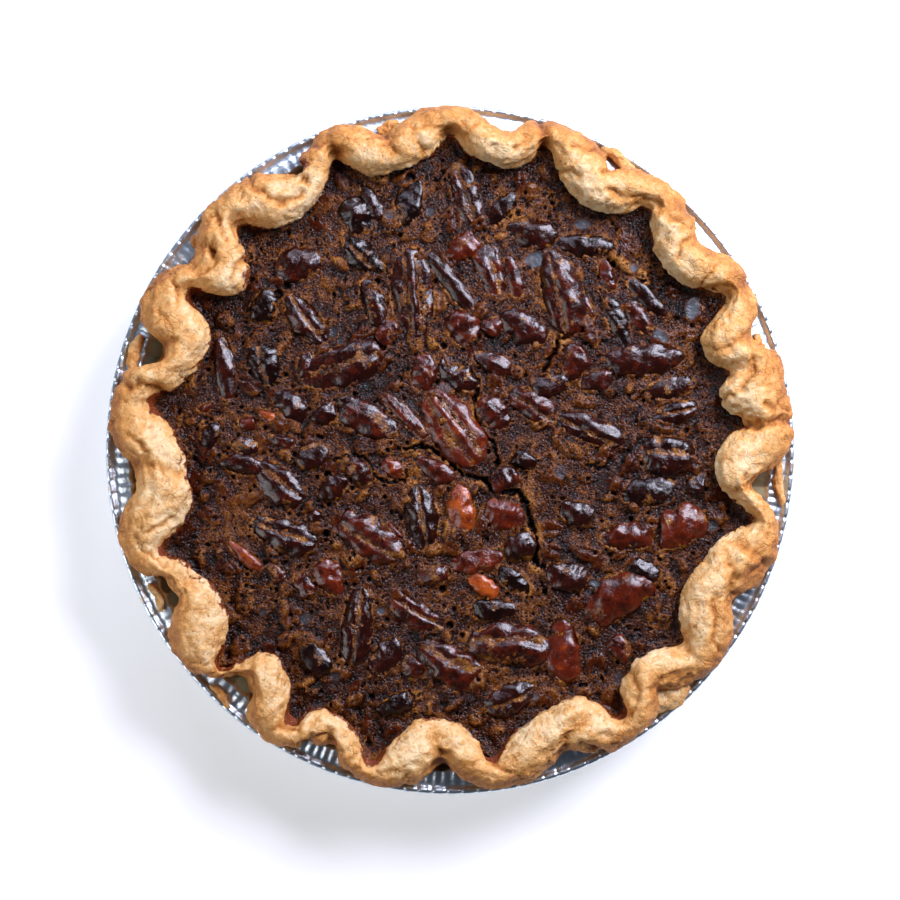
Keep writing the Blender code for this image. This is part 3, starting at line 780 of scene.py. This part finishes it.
# caramel custard filling: it boiled to a foam that set, dark and partly glossy
def makeFillingMaterial():
    material, tree, shader = newMaterial("setCaramelFoam")
    where = addNode(tree, "TexCoord", out="Object")
    foam, skin, holeShade, paneSheen = [
        addNode(tree, "Attribute", out="Fac", attribute_name=name)
        for name in ("foam", "skin", "holeShade", "paneSheen")
    ]
    broad, lumpy, fine = [
        addNode(tree, "TexNoise", {
            "Vector": where, "Scale": 1 / size, "Detail": detail, "Roughness": uneven})
        for size, detail, uneven in ((8 * mm, 4.0, 0.6), (2 * mm, 2.0, 0.5), (0.75 * mm, 2.0, 0.6))
    ]
    # froth: domes under a millimetre, with burst bubbles of two sizes among them
    domes = addNode(tree, "TexVoronoi", {"Vector": where, "Scale": 1 / (0.65 * mm)})
    domes = addNode(tree, "Math", {0: domes, 1: domes}, operation="MULTIPLY")
    burst = 0.0
    for size, rim in ((2.6 * mm, 0.215), (1.5 * mm, 0.22)):
        cells = addNode(tree, "TexVoronoi", {"Vector": where, "Scale": 1 / size})
        holes = setRamp(addNode(tree, "ValToRGB", {"Fac": cells}), (0.18, 1.0), (rim, 0.0))
        burst = addNode(tree, "Math", {0: burst, 1: holes}, operation="MAXIMUM")
    wet = addNode(tree, "Math", {0: skin, 1: paneSheen}, operation="MAXIMUM")
    froth = addNode(tree, "Math", {0: wet, 1: -0.8, 2: 1.0}, operation="MULTIPLY_ADD")
    shade = foam
    for layer, weight in ((broad, 1.0), (lumpy, 0.25), (fine, 0.75)):
        shade = addNode(tree, "Math", {0: layer, 1: weight, 2: shade}, operation="MULTIPLY_ADD")
    shade = addNode(tree, "Math", {0: shade, 1: 1.07}, operation="SUBTRACT")
    colour = setRamp(
        addNode(tree, "ValToRGB", {"Fac": shade}),
        (0.0, "#0B0300"), (0.25, "#331204"), (0.50, "#6C3B11"), (0.82, "#AE7634"),
    )
    shiny = addNode(tree, "Math", {0: skin, 1: 0.7}, operation="MULTIPLY")
    # pale grey-blue on the bubble panes: a painted reflection
    pane = addNode(tree, "Math", {0: paneSheen, 1: 0.7}, operation="MULTIPLY")
    # near black in burst bubbles, open holes and cracks: painted shade in the pits
    dark = addNode(tree, "Math", {0: burst, 1: froth}, operation="MULTIPLY")
    dark = addNode(tree, "Math", {0: dark, 1: holeShade}, operation="MAXIMUM")
    for amount, tone in ((shiny, "#3A0F05"), (dark, "#040100"), (pane, "#626A70")):
        colour = addNode(tree, "MixRGB", {
            "Fac": amount, "Color1": colour, "Color2": linear(tone)})
    roughness = addNode(tree, "MapRange", {"Value": broad, "To Min": 0.04, "To Max": 0.14})
    height = addNode(tree, "Math", {0: fine, 1: 0.9}, operation="MULTIPLY")
    for layer, weight in ((domes, -0.75), (burst, -1.0)):
        height = addNode(tree, "Math", {0: layer, 1: weight, 2: height}, operation="MULTIPLY_ADD")
    height = addNode(tree, "Math", {0: height, 1: froth}, operation="MULTIPLY")
    height = addNode(tree, "Math", {0: lumpy, 1: 1.0, 2: height}, operation="MULTIPLY_ADD")
    bump = addNode(tree, "Bump", {"Height": height, "Strength": 1.0, "Distance": 0.4 * mm})
    setShader(
        tree, shader, Base_Color=colour, Roughness=roughness, Normal=bump, IOR=1.47,
        Specular_IOR_Level=0.26,  # dry froth reflects little
    )
    return material


def makeFilling():
    count = filling["cells"]
    bpy.ops.mesh.primitive_grid_add(x_subdivisions=count, y_subdivisions=count, size=2)
    piece = nameActive("custardTop")
    flat = readPoints(piece)
    x, y = squareToDisc(flat[:, 0], flat[:, 1])
    turns, radii = fillingReach()
    share = np.hypot(x, y)
    turn = np.arctan2(y, x)
    outline = np.interp(turn, turns, radii) + filling["overlap"]
    even = radii.mean()
    radius = share * (even + (outline - even) * share**3)
    x, y = radius * np.cos(turn), radius * np.sin(turn)
    points = np.stack([x, y, np.zeros_like(x)], axis=1)

    dome = filling["dome"] * np.clip(1 - (radius / (100 * mm)) ** 2, 0, 1)
    height = filling["edgeHeight"] + dome
    height += 0.6 * mm * roughNoise(points, 14 * mm, 2, 51)

    skin = np.zeros(len(x))
    lumpTop = np.zeros(len(x))
    wobble = 0.35 * noiseAt(points, 3.5 * mm, 61) + 0.2 * noiseAt(points, 1.8 * mm, 62)
    for lx, ly, length, width, heading, rise, shine in lumpPlaces():
        u, v, away = ovalDistance(
            x, y, (lx, ly), (math.cos(heading), math.sin(heading)), length, width
        )
        away = away + wobble
        bulge = np.clip(1 - np.maximum(away, 0) ** 2.6, 0, 1) ** 0.6
        if shine > 0.45:
            bulge *= 1 - 0.4 * np.exp(-(((v + 0.3 * shine) / 0.2) ** 2))
            bulge *= 1 + 0.12 * np.sin(7 * u + 9 * shine)
            skin = np.maximum(skin, smoothStep(bulge, 0.45, 0.85) * (0.3 + 0.7 * shine))
        lumpTop = np.maximum(lumpTop, rise * bulge)
    height += lumpTop
    # the foam climbs unevenly up each nut that shows, and lies in its hollows
    climb = noiseAt(points, 3.2 * mm, 64) + 0.5 * noiseAt(points, 1.5 * mm, 65)
    for place in nuts:
        _, _, away = ovalDistance(
            x, y, place["middle"], place["along"], place["length"], place["width"]
        )
        thickness = place["high"] - place["low"]
        top = place["low"] + thickness * (0.42 + 0.56 * np.sqrt(np.clip(1 - away**2, 0, 1)))
        cover = top - 1.35 * mm + 1.2 * mm * climb
        height = np.where(away < 1, np.maximum(height, cover), height)
        gap = (away - 1) * place["width"] / 2
        foot = 0.9 * mm * (1 + climb) * np.exp(-np.maximum(gap, 0) / (0.9 * mm))
        height = np.maximum(height, np.where(away >= 1, filling["edgeHeight"] + dome + foot, 0))

    foam = 0.42 * noiseAt(points, 3.0 * mm, 71) * mm + 0.22 * noiseAt(points, 1.6 * mm, 72) * mm
    height += foam * (1 - 0.5 * skin)

    # many small open bubbles, and the larger ones
    # holeShade marks the open holes and cracks for painted shade
    holeShade = np.zeros(len(x))
    chooser = random.Random(7)
    bubbles = [
        (chooser.uniform(-98, 98), chooser.uniform(-98, 98), chooser.uniform(0.8, 1.6))
        for _ in range(filling["bubbles"])
    ]
    for hx, hy, width in [*bubbles, *filling["holes"]]:
        away = np.hypot(x - hx * mm, y - hy * mm) / (width * mm / 2)
        hole = 1 - smoothStep(away, 0.55, 1.15)
        height -= hole * min(0.9 * width, 2.0) * mm
        height += 0.15 * mm * np.exp(-(((away - 1.45) / 0.3) ** 2))
        holeShade = np.maximum(holeShade, hole)
    jagX = 0.9 * noiseAt(points, 1.9 * mm, 81) + 0.5 * noiseAt(points, 0.9 * mm, 82)
    jagY = 0.9 * noiseAt(points, 1.9 * mm, 83) + 0.5 * noiseAt(points, 0.9 * mm, 84)
    for width, *run in filling["cracks"]:
        away = distanceToRun(x / mm + jagX, y / mm + jagY, run)
        vary = width * (1 + 0.8 * noiseAt(points, 3 * mm, 85))
        cut = 1 - smoothStep(away, 0.2 * vary, 0.75 * vary + 0.15)
        height -= cut * filling["crackDepth"] * min(1, width)
        height += 0.4 * mm * np.exp(-((away / 3) ** 2))
        holeShade = np.maximum(holeShade, cut)
    paneSheen = np.zeros(len(x))
    for wx, wy, length, width, heading, sheenStrength in filling["windows"]:
        turnTo = math.radians(heading)
        _, _, away = ovalDistance(
            x, y, (wx * mm, wy * mm), (math.cos(turnTo), math.sin(turnTo)), length * mm, width * mm
        )
        away = away + 0.5 * wobble
        pane = 1 - smoothStep(away, 0.8, 1.1)
        level = np.median(height[away < 1.3]) - 0.4 * mm
        height = height * (1 - pane) + pane * (level + 0.15 * (height - level))
        height += 0.2 * mm * np.exp(-(((away - 1.2) / 0.25) ** 2))
        holeShade *= 1 - pane
        paneSheen = np.maximum(paneSheen, pane * sheenStrength)
    edge = smoothStep(outline - radius, 2.5 * mm, 8 * mm)
    height = np.where(edge < 1, filling["edgeHeight"] + (height - filling["edgeHeight"])
                      * (0.35 + 0.65 * edge), height)
    fromEdge = np.maximum(outline - radius, 0) / filling["creepWidth"]
    height += filling["creep"] * np.exp(-(fromEdge**2))
    height = np.minimum(height, filling["highest"])
    points[:, 2] = height
    writePoints(piece, points)

    # foam is paler where it stands up and darker low down, the darkening in the hollows being
    # partly painted shade; slightly paler at the edge
    relief = height - smoothedPoints(piece, 30)[0][:, 2]
    foamAndShade = 0.12 + 0.50 * smoothStep(relief, -0.7 * mm, 0.8 * mm)
    foamAndShade += 0.16 * noiseAt(points, 20 * mm, 91) + 0.04 * (1 - edge)
    writeAttribute(piece, "foam", foamAndShade)
    writeAttribute(piece, "skin", skin * (1 - paneSheen))
    writeAttribute(piece, "holeShade", holeShade)
    writeAttribute(piece, "paneSheen", paneSheen)

    # down the sides, out of sight, to a flat underside
    editAll(piece, "DESELECT")
    bpy.ops.mesh.select_non_manifold()
    (waistHeight, waist), (footHeight, foot) = filling["waist"], filling["foot"]
    bpy.ops.mesh.extrude_region_move(TRANSFORM_OT_translate={"value": (0, 0, -10 * mm)})
    bpy.ops.transform.resize(value=(0.96, 0.96, 0.0), center_override=(0, 0, waistHeight))
    extrudeRing(footHeight - waistHeight, 0.87, 0.87, 1)
    bpy.ops.mesh.edge_face_add()
    bpy.ops.mesh.select_all(action="SELECT")
    bpy.ops.mesh.normals_make_consistent(inside=False)
    leaveEdit()
    points = readPoints(piece)
    radius = np.hypot(points[:, 0], points[:, 1])
    inside = np.where(points[:, 2] < footHeight + mm, foot, waist)
    inside = np.where(points[:, 2] < waistHeight + mm, inside, radius)
    points[:, :2] *= np.minimum(1, inside / np.maximum(radius, mm))[:, None]
    writePoints(piece, points)
    finishPiece(piece, makeFillingMaterial(), ["custard_filling"])
    print("filling made:", len(piece.data.polygons), "faces")


makeFilling()


# pecan halves: glazed with syrup, wrinkled along their length, foam dried in the grooves
pecanLook = {
    "segments": 32,
    "rings": 34,
    "grooveWidth": 9.0,  # degrees round the nut
    "grooveDepth": 0.30,
    "wider": 1.22,  # than its solid, since rounding and broken faces narrow it
    "longer": 1.07,
}

# grooves as degrees from the top, ribs across, tint from dark to orange, in the nodes' order
pecanForms = (
    ((-20, 22), 0.04, 0.35), ((), 0.05, 0.3), ((12,), 0.05, 0.35), ((-14,), 0.07, 0.45),
    ((18,), 0.06, 0.4), ((), 0.04, 0.2), ((), 0.07, 0.3), ((), 0.03, 0.1), ((10,), 0.06, 0.1),
    ((), 0.02, 0.35), ((-8,), 0.07, 0.35), ((), 0.05, 0.3), ((0,), 0.06, 0.35), ((), 0.03, 0.35),
    ((15,), 0.05, 0.1), ((-16,), 0.05, 0.35), ((), 0.07, 0.4), ((), 0.03, 0.5),
    ((-24, 20), 0.06, 0.65), ((), 0.06, 0.45), ((), 0.05, 0.3), ((), 0.03, 0.5), ((), 0.05, 0.4),
    ((10,), 0.05, 0.45), ((14,), 0.05, 0.3), ((), 0.12, 0.35), ((), 0.06, 0.25),
    ((0,), 0.04, 0.25), ((-10,), 0.05, 0.25), ((), 0.05, 0.15), ((), 0.08, 0.6), ((), 0.10, 0.5),
    ((), 0.04, 0.2), ((), 0.04, 0.1), ((0,), 0.06, 0.25), ((), 0.03, 0.85), ((), 0.05, 0.6),
    ((16,), 0.09, 0.5), ((), 0.05, 0.6), ((), 0.04, 0.35), ((), 0.08, 0.1), ((-18,), 0.06, 0.45),
    ((0,), 0.05, 0.3), ((-20,), 0.08, 0.45), ((-14,), 0.08, 0.45), ((), 0.06, 0.3),
    ((), 0.05, 0.6), ((8,), 0.05, 0.3), ((), 0.09, 0.55), ((-15,), 0.07, 0.3), ((), 0.06, 0.15),
    ((), 0.05, 0.4), ((), 0.04, 0.5), ((), 0.06, 0.25), ((), 0.06, 0.2), ((), 0.04, 0.45),
    ((), 0.03, 0.6),
)


def makePecanMaterial():
    material, tree, shader = newMaterial("syrupGlazedPecan")
    where = addNode(tree, "TexCoord", out="Object")
    groove, tint = [
        addNode(tree, "Attribute", out="Fac", attribute_name=name) for name in ("groove", "tint")
    ]
    mottle, fine = [
        addNode(tree, "TexNoise", {
            "Vector": where, "Scale": 1 / size, "Detail": detail, "Roughness": uneven})
        for size, detail, uneven in ((3.5 * mm, 5.0, 0.65), (1.0 * mm, 3.0, 0.7))
    ]
    froth = addNode(tree, "TexVoronoi", {"Vector": where, "Scale": 1 / (0.8 * mm)})
    froth = addNode(tree, "Math", {0: froth, 1: froth}, operation="MULTIPLY")
    shade = addNode(tree, "Math", {0: mottle, 1: 1.1, 2: tint}, operation="MULTIPLY_ADD")
    shade = addNode(tree, "Math", {0: shade, 1: 0.57}, operation="SUBTRACT")
    colour = setRamp(
        addNode(tree, "ValToRGB", {"Fac": shade}),
        (0.05, "#100301"), (0.36, "#2A0A04"), (0.68, "#5E1D09"), (1.0, "#A34A16"),
    )
    # dried foam in the grooves and round the foot
    foam = groove
    for layer in (fine, mottle):
        foam = addNode(tree, "Math", {0: layer, 1: 0.9, 2: foam}, operation="MULTIPLY_ADD")
    foam = addNode(tree, "Math", {0: foam, 1: 0.79}, operation="SUBTRACT")
    foam = setRamp(addNode(tree, "ValToRGB", {"Fac": foam}), (0.42, 0.0), (0.56, 1.0))
    foamColour = setRamp(
        addNode(tree, "ValToRGB", {"Fac": mottle}),
        (0.35, "#2E1105"), (0.50, "#5F330E"), (0.68, "#94601F"),
    )
    colour = addNode(tree, "MixRGB", {"Fac": foam, "Color1": colour, "Color2": foamColour})
    roughness = addNode(tree, "MapRange", {"Value": mottle, "To Min": 0.06, "To Max": 0.2})
    height = addNode(tree, "Math", {0: fine, 1: 0.25, 2: mottle}, operation="MULTIPLY_ADD")
    bubbles = addNode(tree, "Math", {0: froth, 1: foam}, operation="MULTIPLY")
    height = addNode(tree, "Math", {0: bubbles, 1: -0.6, 2: height}, operation="MULTIPLY_ADD")
    bump = addNode(tree, "Bump", {"Height": height, "Strength": 1.0, "Distance": 0.5 * mm})
    setShader(
        tree, shader, Base_Color=colour, Roughness=roughness, Normal=bump, IOR=1.5,
        Coat_Weight=0.15, Coat_Roughness=0.05,
    )
    return material


def shapeNut(piece, place, seed, form, facets):
    # turns a unit ball into one nut, long way along the place's heading
    angles, ribs, tint = form
    chooser = random.Random(seed)
    ball = readPoints(piece)
    # broken faces
    for _ in range(facets):
        facing = Vector([chooser.gauss(0, 1) for _ in range(3)]).normalized()
        over = ball @ np.array(facing) - chooser.uniform(0.62, 0.86)
        ball -= np.maximum(over, 0)[:, None] * np.array(facing)
    along, side, up = ball[:, 2], ball[:, 0], ball[:, 1]
    turn = np.degrees(np.arctan2(up, side)) - 90  # 0 at the top
    turn = (turn + 180) % 360 - 180
    around = np.hypot(side, up)
    fullness = around ** chooser.uniform(0.6, 0.8)
    ends = 1 - 0.18 * chooser.uniform(-1, 1) * along
    grooves = np.zeros(len(ball))
    bend = 7 * chooser.uniform(-1, 1)
    for at in angles:
        away = (turn - at - bend * np.sin(2.2 * along + seed)) / pecanLook["grooveWidth"]
        grooves = np.maximum(grooves, np.exp(-away * away))
    grooves *= smoothStep(around, 0.25, 0.7)
    waves = chooser.uniform(5, 8)
    ripple = ribs * np.sin(waves * math.pi * along / 2 + 0.04 * turn + seed)
    ripple *= 0.4 + 0.6 * smoothStep(np.abs(turn), 10, 40)
    radius = fullness * ends * (1 - pecanLook["grooveDepth"] * grooves + ripple)
    thickness = place["high"] - place["low"]
    wrinkles = np.abs(noiseAt(np.stack(
        [along * place["length"] * 0.22, side * place["width"] / 2, up * place["width"] / 2], axis=1
    ), 1.7 * mm, seed + 3))
    radius -= 0.22 * np.clip(0.35 - wrinkles, 0, 1)
    sideways = pecanLook["wider"] * radius * np.sin(np.radians(-turn)) * place["width"] / 2
    upward = radius * np.cos(np.radians(turn))
    middle = place["low"] + 0.42 * thickness
    upward = np.where(upward > 0, upward * 0.56 * thickness, upward * 0.42 * thickness)
    arch = 0.10 * chooser.uniform(-0.6, 1) * thickness * (1 - along * along)
    bow = place["width"] * 0.10 * chooser.uniform(-1, 1) * (1 - along * along)
    lengthways = pecanLook["longer"] * along * place["length"] / 2
    points = np.zeros_like(ball)
    points[:, :2] = (
        place["middle"][:2]
        + lengthways[:, None] * place["along"]
        + (sideways + bow)[:, None] * place["across"]
    )
    points[:, 2] = middle + upward + arch
    lumps = noiseAt(points, 3.4 * mm, seed) * 0.8 * mm + noiseAt(points, 1.6 * mm, seed) * 0.4 * mm
    spread = points - np.array([*place["middle"][:2], middle])
    spread /= np.linalg.norm(spread, axis=1)[:, None] + 1e-9
    points += spread * (lumps * min(1, place["width"] / (9 * mm)))[:, None]
    points[:, 2] = np.minimum(points[:, 2], place["high"] + 0.6 * mm)
    writePoints(piece, points)
    # foam dries in the grooves, low on the sides and in patches
    low = 1 - smoothStep(upward, -0.1 * thickness, 0.32 * thickness)
    patch = 0.35 * smoothStep(noiseAt(points, 5 * mm, seed + 5), 0.0, 0.5)
    writeAttribute(piece, "groove", 0.62 * grooves + 0.62 * low + patch)
    writeAttribute(piece, "tint", np.full(len(ball), tint))


def newBall(name, segments, rings):
    bpy.ops.mesh.primitive_uv_sphere_add(segments=segments, ring_count=rings, radius=1)
    return nameActive(name)


def makeNuts():
    material = makePecanMaterial()
    halves = []
    for number, (place, form) in enumerate(zip(pecans.values(), pecanForms), 1):
        piece = newBall(f"half{number}", pecanLook["segments"], pecanLook["rings"])
        shapeNut(piece, place, number, form, 1)
        halves.append(piece)
    whole = joinPieces(halves, "pecanHalves")
    broken = []
    for number, (place, row) in enumerate(zip(bits, nutBits)):
        piece = newBall(f"bit{number}", 28, 24)
        shapeNut(piece, place, 100 + number, ((), 0.06, row[-1]), 7)
        broken.append(piece)
    pieces = joinPieces(broken, "pecanBits")
    for piece, nodes in ((whole, list(pecans)), (pieces, [])):
        editAll(piece)
        bpy.ops.mesh.normals_make_consistent(inside=False)
        leaveEdit()
        finishPiece(piece, material, nodes)
    print("nuts made:", len(whole.data.polygons) + len(pieces.data.polygons), "faces")


makeNuts()


# foil tin: pressed from thin aluminium, fluted wall, flat flange, rolled bead
tin = {
    "sides": 1440,
    "flutes": 120,
    "fluteDepth": 0.85 * mm,
    "crimps": 150,
    "crimpDepth": 0.3 * mm,
    "ripples": 230,
    "rippleDepth": 0.17 * mm,
    "dentDepth": 0.35 * mm,
    "foil": 0.16 * mm,
    # radius, height in mm from the middle of the floor out to the bead, then under it
    "profile": (
        (60, 0.1), (84, 0.1), (87.2, 0.25), (88.4, 1.4), (91.5, 6.0), (96.0, 12.6),
        (100.5, 19.2), (104.0, 24.6), (105.6, 27.4), (106.2, 28.2),
        (106.9, 28.42), (107.6, 28.05), (108.2, 28.25), (108.9, 27.85), (109.6, 27.9),
        (110.2, 27.55), (111.3, 27.3), (112.0, 27.35), (112.6, 28.1), (113.4, 28.45),
        (114.1, 28.1), (114.42, 27.4), (114.2, 26.6), (113.5, 25.9), (112.6, 25.8),
        (112.0, 26.2), (111.9, 26.8),
    ),
}


def makeFoilMaterial():
    material, tree, shader = newMaterial("pressedAluminiumFoil")
    where = addNode(tree, "TexCoord", out="Object")
    creases = addNode(tree, "TexNoise", {
        "Vector": where, "Scale": 1 / (4 * mm), "Detail": 5.0, "Roughness": 0.6,
        "Distortion": 0.8})
    smears = addNode(tree, "TexNoise", {
        "Vector": where, "Scale": 1 / (10 * mm), "Detail": 5.0, "Roughness": 0.7})
    grease = setRamp(addNode(tree, "ValToRGB", {"Fac": smears}), (0.57, 0.0), (0.66, 1.0))
    # grease lies on the flange only
    height = addNode(tree, "SeparateXYZ", {0: where}, out=2)
    onFlange = addNode(tree, "MapRange", {"Value": height, "From Min": 26 * mm,
                                          "From Max": 27 * mm, "To Max": 0.65})
    greased = addNode(tree, "Math", {0: grease, 1: onFlange}, operation="MULTIPLY")
    colour = addNode(tree, "MixRGB", {
        "Fac": greased, "Color1": linear("#DAE5EC"), "Color2": linear("#B08A4C")})
    roughness = addNode(tree, "MapRange", {"Value": grease, "To Min": 0.36, "To Max": 0.48})
    bump = addNode(tree, "Bump", {"Height": creases, "Strength": 0.5, "Distance": 0.6 * mm})
    setShader(
        tree, shader, Base_Color=colour, Roughness=roughness, Normal=bump, Metallic=1.0)
    return material


def makeTin():
    profile = [(radius * mm, height * mm) for radius, height in tin["profile"]]
    radius, height = profile[0]
    bpy.ops.mesh.primitive_circle_add(
        vertices=tin["sides"], radius=radius, fill_type="TRIFAN", location=(0, 0, height)
    )
    piece = nameActive("foilTin")
    bpy.ops.object.transform_apply(location=True, rotation=True, scale=True)
    editAll(piece, "DESELECT")
    bpy.ops.mesh.select_non_manifold()
    for nextRadius, nextHeight in profile[1:]:
        scale = nextRadius / radius
        extrudeRing(nextHeight - height, scale, scale, 1)
        radius, height = nextRadius, nextHeight
    bpy.ops.mesh.select_all(action="SELECT")
    bpy.ops.mesh.normals_make_consistent(inside=False)
    leaveEdit()
    points = readPoints(piece)
    turn = np.arctan2(points[:, 1], points[:, 0])
    reach = np.hypot(points[:, 0], points[:, 1])
    around = np.stack([np.cos(turn), np.sin(turn), np.zeros_like(turn)], axis=1)
    # pleats down the wall, uneven, fading out at the floor and the flange
    uneven = 1.3 * noiseAt(around * 100 * mm, 14 * mm, 3)
    pleats = np.abs(np.sin(tin["flutes"] / 2 * turn + uneven)) - 0.25
    onWall = smoothStep(reach, 88 * mm, 92 * mm) * (1 - smoothStep(reach, 105.5 * mm, 107.5 * mm))
    radial = pleats * tin["fluteDepth"] * onWall
    # crimps across the flange and bead
    crimp = np.sin(tin["crimps"] * turn + 2 * noiseAt(around * 100 * mm, 9 * mm, 5))
    crimp = smoothStep(crimp, 0.55, 0.95) * smoothStep(reach, 111.6 * mm, 112.6 * mm)
    radial -= crimp * 0.1 * mm * smoothStep(reach, 113 * mm, 114 * mm)
    points[:, 2] -= crimp * tin["crimpDepth"] * (points[:, 2] > 27.0 * mm)
    # ripples where the wall's pleats run out over the flange
    ripple = np.sin(tin["ripples"] * turn + 5 * noiseAt(around * 100 * mm, 11 * mm, 6))
    onFlange = smoothStep(reach, 104 * mm, 107 * mm) * (1 - smoothStep(reach, 110 * mm, 112 * mm))
    strength = 0.5 - 0.5 * np.cos(turn - math.radians(60))
    strength += 0.5 * noiseAt(around * 100 * mm, 20 * mm, 7)
    points[:, 2] += (ripple - 1) * tin["rippleDepth"] * onFlange * np.clip(0.15 + strength, 0, 1)
    dents = tin["dentDepth"] * noiseAt(around * 110 * mm, 12 * mm, 8)
    points[:, 2] += np.minimum(dents, 0.0) * smoothStep(reach, 100 * mm, 108 * mm)
    points[:, :2] += around[:, :2] * radial[:, None]
    writePoints(piece, points)
    applyModifier(
        piece, "thickness", "SOLIDIFY", thickness=tin["foil"], offset=0.0, use_even_offset=False
    )
    points = readPoints(piece)
    points[:, 2] = np.maximum(points[:, 2], 0.0)
    writePoints(piece, points)
    finishPiece(piece, makeFoilMaterial(), ["foil_tin"])
    print("tin made:", len(piece.data.polygons), "faces")


makeTin()
